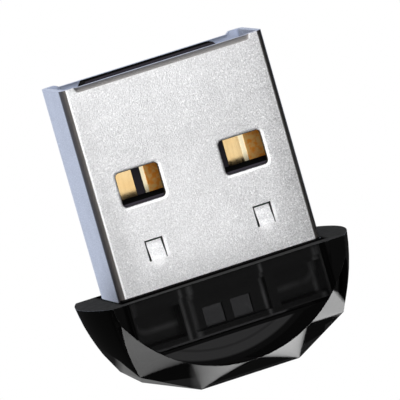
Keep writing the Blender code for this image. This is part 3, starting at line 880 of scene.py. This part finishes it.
def table_mirrored(s, across, along):
    """The table in mirrors: cool grey beside the plug, else nearly black but for a strip and a glint."""
    wall = s.both(s.within(across, *COOL_WALL_X), s.past(along, *COOL_WALL_Y))
    beside = s.maths("MAXIMUM", s.past(along, *COOL_Y), wall)
    strip = s.both(s.within(across, *STRIP_X), s.within(along, *STRIP_Y))
    mirrored = s.blend(beside, s.blend(strip, grey(STRIP_GREY[0]), grey(STRIP_GREY[1])), COOL)
    away = s.maths("ADD", s.maths("MULTIPLY", across, GLINT_NORMAL[0]),
                   s.maths("MULTIPLY", along, GLINT_NORMAL[1]))
    glint = s.both(s.past(away, *GLINT_AWAY), s.past(across, *GLINT_X), GLINT)
    return s.blend(s.past(across, *GLINT_ZONE_X), mirrored, s.level(glint))


def table_below(s):
    """The table as seen through the smoked plastic: a dim round pool with a darker ring."""
    centre = at((0, ARC_C, 0))
    radius = s.node("VectorMath", {0: s.place.outputs["Object"], 1: (0, centre.y, 0)}, operation="DISTANCE")
    radius = radius.outputs["Value"]
    pool = s.spread(radius, POOL_R[0] * MM, POOL_R[1] * MM, *POOL_GREY)
    ring_r, half, darker = POOL_LINE
    off = s.maths("ABSOLUTE", s.maths("SUBTRACT", radius, ring_r * MM))
    ring = s.maths("LESS_THAN", off, half * MM)
    return s.level(s.maths("SUBTRACT", pool, s.maths("MULTIPLY", ring, darker)))


def floor():
    """Glowing table, white to the eye only. Diffuse light sees it mid grey, and mirrored light that has
    crossed the plastic sees it nearly black."""
    a = TABLE_HALF
    mesh = bpy.data.meshes.new("floor")
    mesh.from_pydata([(-a, -a, 0), (a, -a, 0), (a, a, 0), (-a, a, 0)], [], [(0, 1, 2, 3)])
    ob = bpy.data.objects.new("floor", mesh)
    ob.location.z = -TABLE_GAP * MM
    bpy.context.scene.collection.objects.link(ob)
    s = Shader("white_table")
    path = s.node("LightPath").outputs
    across, along, _ = s.where()
    been_inside = s.maths("GREATER_THAN", path["Transmission Depth"], 0.5)
    color = s.blend(been_inside, table_mirrored(s, across, along), grey(INSIDE_GREY))
    color = s.blend(path["Is Diffuse Ray"], color, grey(0.5))
    color = s.blend(path["Is Transmission Ray"], color, table_below(s))
    color = s.blend(path["Is Camera Ray"], color, grey(1.0))
    s.glow(color, 1.0)
    ob.data.materials.append(s.material)
    ob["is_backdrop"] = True


def world():
    """White to the eye. As light it is a soft dome: dark overhead and at the horizon, weaker to the right
    and behind the cap, and nearly off for light that has crossed the plastic."""
    made = bpy.data.worlds.new("studio")
    bpy.context.scene.world = made
    made.use_nodes = True
    tree = made.node_tree
    light = tree.nodes["Background"]
    place = tree.nodes.new("ShaderNodeTexCoord")
    split = tree.nodes.new("ShaderNodeSeparateXYZ")
    tree.links.new(place.outputs["Generated"], split.inputs[0])
    ramp = tree.nodes.new("ShaderNodeValToRGB")
    tree.links.new(split.outputs["Z"], ramp.inputs[0])
    fill_ramp(ramp.color_ramp, DOME_TONES)
    eye = tree.nodes.new("ShaderNodeLightPath")
    mix = tree.nodes.new("ShaderNodeMix")
    mix.data_type = "RGBA"
    tree.links.new(eye.outputs["Is Camera Ray"], mix.inputs[0])
    aside = tree.nodes.new("ShaderNodeVectorMath")
    aside.operation = "DOT_PRODUCT"
    tree.links.new(place.outputs["Generated"], aside.inputs[0])
    aside.inputs[1].default_value = DOME_SIDE
    shade = tree.nodes.new("ShaderNodeMapRange")
    tree.links.new(aside.outputs["Value"], shade.inputs["Value"])
    for key, value in zip(("From Min", "From Max", "To Min", "To Max"), DOME_FALL):
        shade.inputs[key].default_value = value
    tone = tree.nodes.new("ShaderNodeVectorMath")
    tone.operation = "SCALE"
    tree.links.new(ramp.outputs[0], tone.inputs[0])
    tree.links.new(shade.outputs["Result"], tone.inputs["Scale"])
    tree.links.new(tone.outputs[0], mix.inputs[6])
    mix.inputs[7].default_value = grey(1.0)
    tree.links.new(mix.outputs[2], light.inputs["Color"])
    dim = tree.nodes.new("ShaderNodeMapRange")
    tree.links.new(eye.outputs["Transmission Depth"], dim.inputs["Value"])
    dim.inputs["To Min"].default_value = 1.0
    dim.inputs["To Max"].default_value = DOME_INSIDE
    tree.links.new(dim.outputs["Result"], light.inputs["Strength"])


def sky_panel(receivers):
    """Large soft light overhead, for everything but the cap."""
    data = bpy.data.lights.new("sky_panel", "AREA")
    data.shape = "RECTANGLE"
    data.size, data.size_y = PANEL_SIZE[0] * MM, PANEL_SIZE[1] * MM
    data.energy = PANEL_STRENGTH * PANEL_SIZE[0] * PANEL_SIZE[1] * MM * MM * math.pi
    ob = bpy.data.objects.new("sky_panel", data)
    ob.location = at(PANEL_AT)
    ob.rotation_euler = Vector((0, 0, -1)).to_track_quat("-Z", "Y").to_euler()
    ob.visible_camera = False
    bpy.context.scene.collection.objects.link(ob)
    ob.light_linking.receiver_collection = receivers
    ob.light_linking.blocker_collection = receivers


def reflector(receivers):
    """Bent card standing on the table beyond the cap, seen only in its polished facets."""
    points = [(x, y, CAP_BACK) for x, y, high in CARD] + [(x, y, CAP_BACK + high) for x, y, high in CARD]
    n = len(CARD)
    ob = mesh_object("reflector_card", points, [(i, i + 1, n + i + 1, n + i) for i in range(n - 1)])
    s = Shader("card_light")
    across, _, height = s.where()
    fade_x, fade = [v * MM for v in CARD_FADE_X], [v * MM for v in CARD_FADE]
    rise = s.maths("EXPONENT", s.maths("DIVIDE", height, s.spread(across, *fade_x, *fade)))
    rise = s.maths("SUBTRACT", 1.0, rise)
    ramp = s.node("ValToRGB", {0: s.past(across, CARD[0][0], CARD[-1][0])})
    fill_ramp(ramp.color_ramp, CARD_TONES)
    s.glow(ramp.outputs[0], s.maths("MULTIPLY", rise, CARD_STRENGTH))
    ob.data.materials.append(s.material)
    ob.visible_camera = False
    ob.visible_diffuse = False
    ob.visible_transmission = False
    ob.visible_shadow = False
    ob.light_linking.receiver_collection = receivers
    ob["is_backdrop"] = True


def studio():
    floor()
    world()
    metal = bpy.data.collections.new("lit_by_panel")
    plastic = bpy.data.collections.new("lit_by_card")
    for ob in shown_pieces():
        group = plastic if ob.name == "smoked_end_cap" else metal
        group.objects.link(ob)
    sky_panel(metal)
    reflector(plastic)


plug_shell()
end_cap()
inner_parts()
studio()
camera()
bpy.context.scene.view_settings.view_transform = "Standard"
